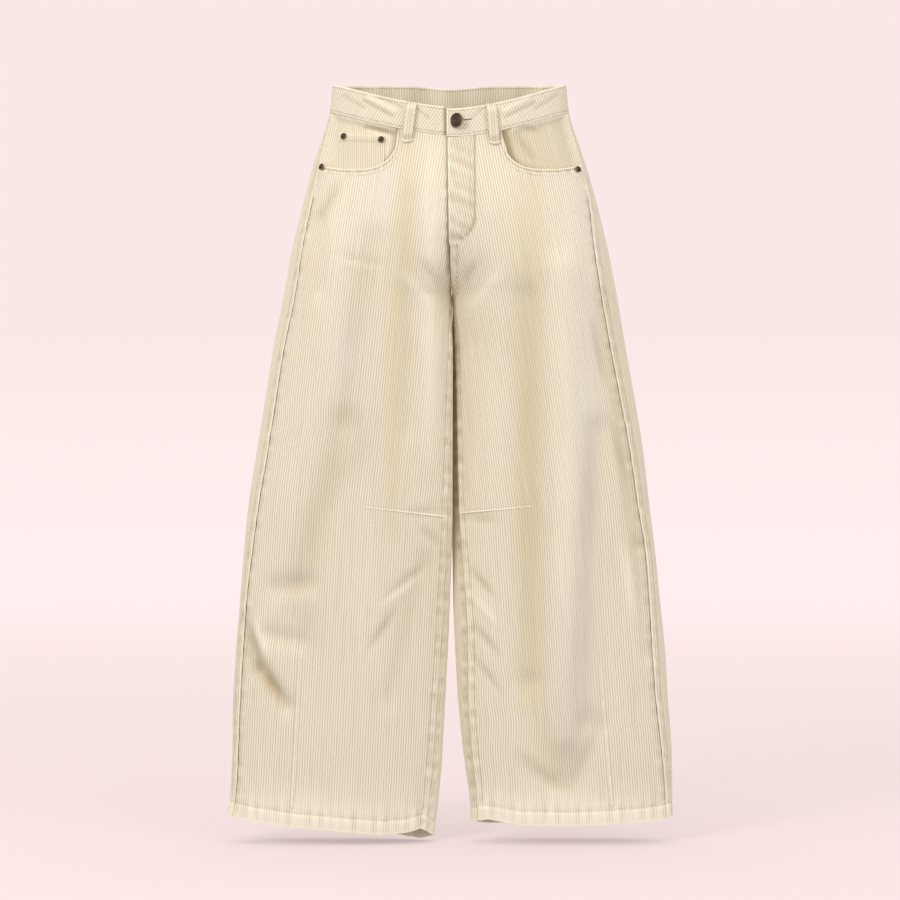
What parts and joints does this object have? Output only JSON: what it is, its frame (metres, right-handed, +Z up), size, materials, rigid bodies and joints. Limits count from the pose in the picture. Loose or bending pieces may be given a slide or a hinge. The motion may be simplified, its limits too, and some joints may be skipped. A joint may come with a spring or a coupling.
{
  "type": "corduroy trousers",
  "caption": "Wide curved-leg corduroy trousers with a high waistband, belt loops, fly front, scoop pockets, coin pocket and knee darts, filled out with no wearer.",
  "frame": {"origin": "middle of the waist opening, level with the top edge at the side seams", "axes": "+Z up along the legs, -Y out of the front, +X towards the wearer's left"},
  "size_m": [0.6173, 0.1808, 1.0531],
  "materials": {
    "corduroy": "wide-wale cotton corduroy, soft nap",
    "band_corduroy": "corduroy cut on a curve, double thickness",
    "pocket_corduroy": "corduroy, a little shaded",
    "antique_brass": "darkened, worn on its edges"
  },
  "bodies": {
    "root": {"front_right": "corduroy", "front_left": "corduroy", "back_right": "corduroy", "back_left": "corduroy", "knee_dart_right": "corduroy", "knee_dart_left": "corduroy", "hem_dart_right": "corduroy", "hem_dart_left": "corduroy", "pocket_facing_right": "pocket_corduroy", "pocket_facing_left": "pocket_corduroy", "coin_pocket": "pocket_corduroy", "waistband": "band_corduroy", "belt_loop_front_right": "band_corduroy", "belt_loop_front_left": "band_corduroy", "belt_loop_back_right": "band_corduroy", "belt_loop_back_left": "band_corduroy", "belt_loop_centre_back": "band_corduroy", "rivet_side_right": "antique_brass", "rivet_side_left": "antique_brass", "rivet_coin_outer": "antique_brass", "rivet_coin_inner": "antique_brass", "button": "antique_brass"}
  },
  "joints": []
}
